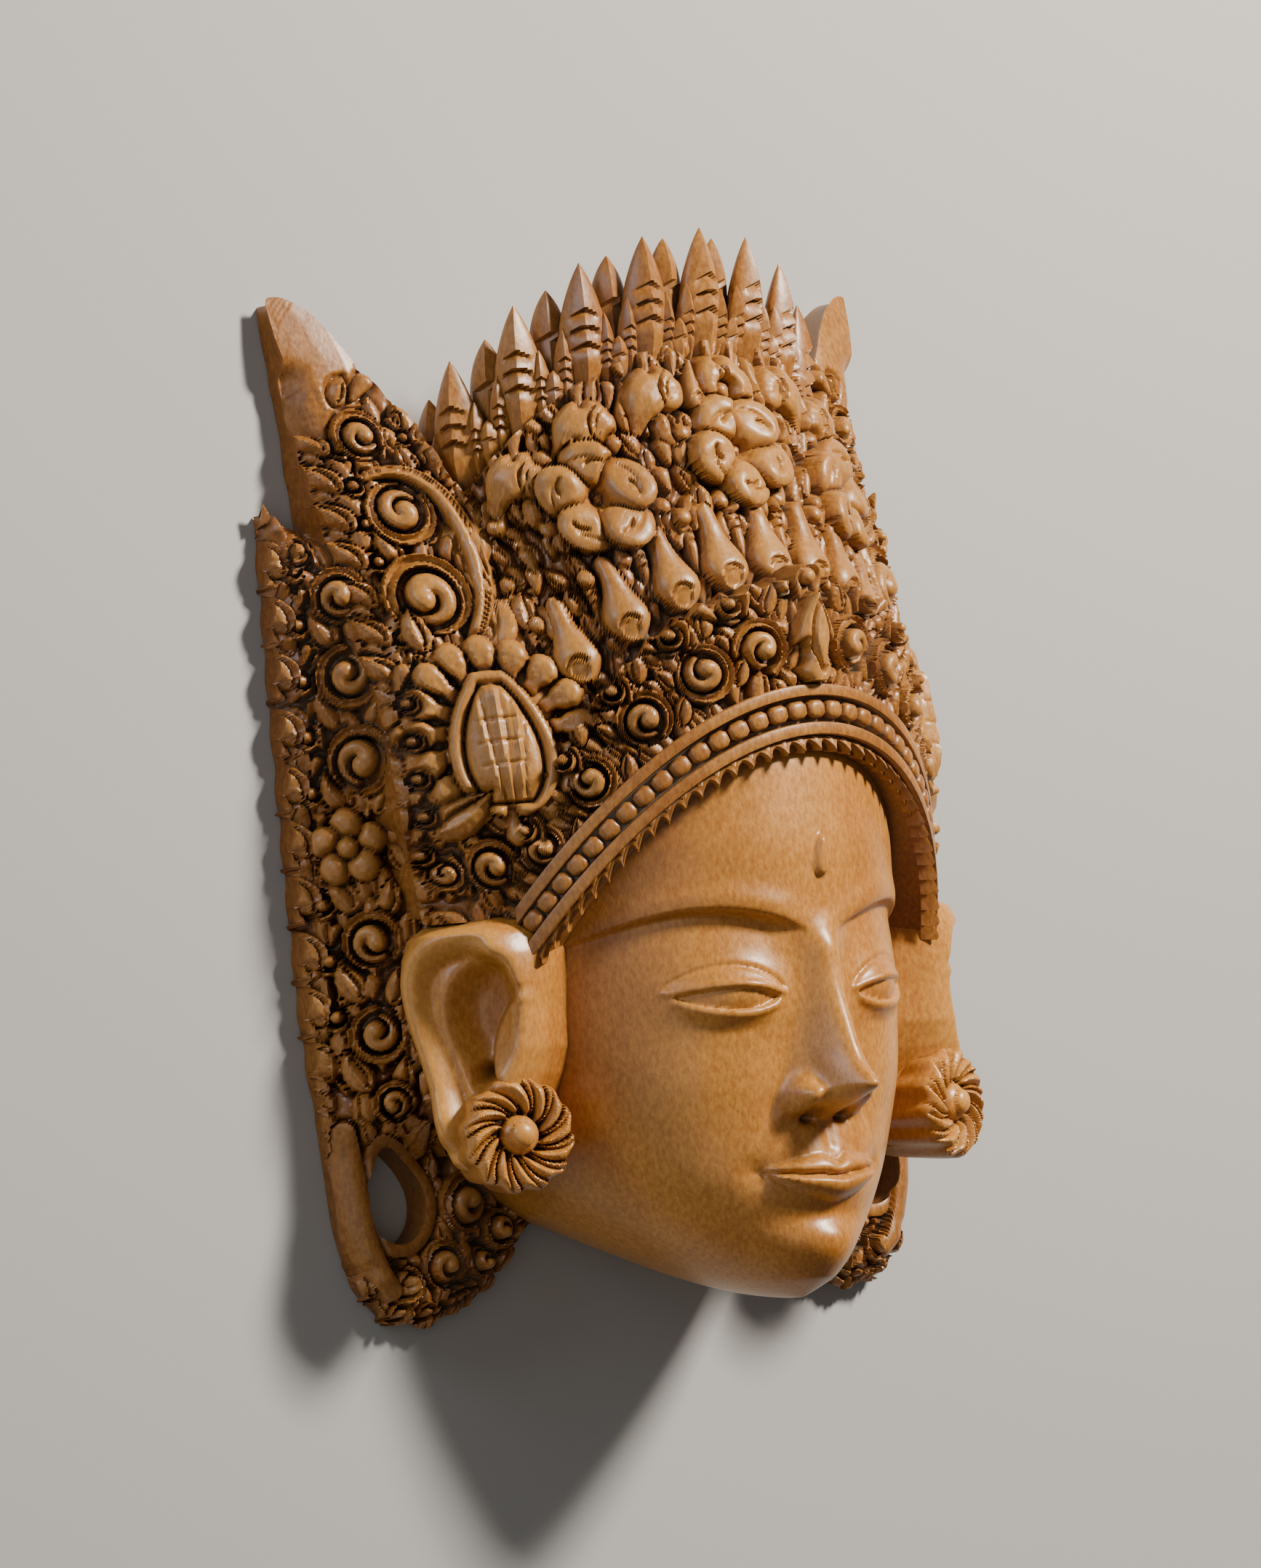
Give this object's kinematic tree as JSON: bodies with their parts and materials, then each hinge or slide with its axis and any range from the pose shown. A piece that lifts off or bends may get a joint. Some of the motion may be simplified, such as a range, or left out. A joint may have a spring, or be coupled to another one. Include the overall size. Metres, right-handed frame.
{
  "type": "carved wooden mask",
  "caption": "Carved wooden mask of a calm crowned head with long ears, leaf-scroll wings and a spiked crown, hollow behind",
  "frame": {"origin": "middle of the plan, on the flat back rim that the mask rests on", "axes": "+Z out of the face, +Y towards the crown, +X to the right of someone who looks at the face"},
  "size_m": [0.258, 0.3416, 0.1297],
  "materials": {
    "wood": "satin wax over golden-brown fine-grained wood"
  },
  "bodies": {
    "root": {"mask": "wood"}
  },
  "joints": []
}
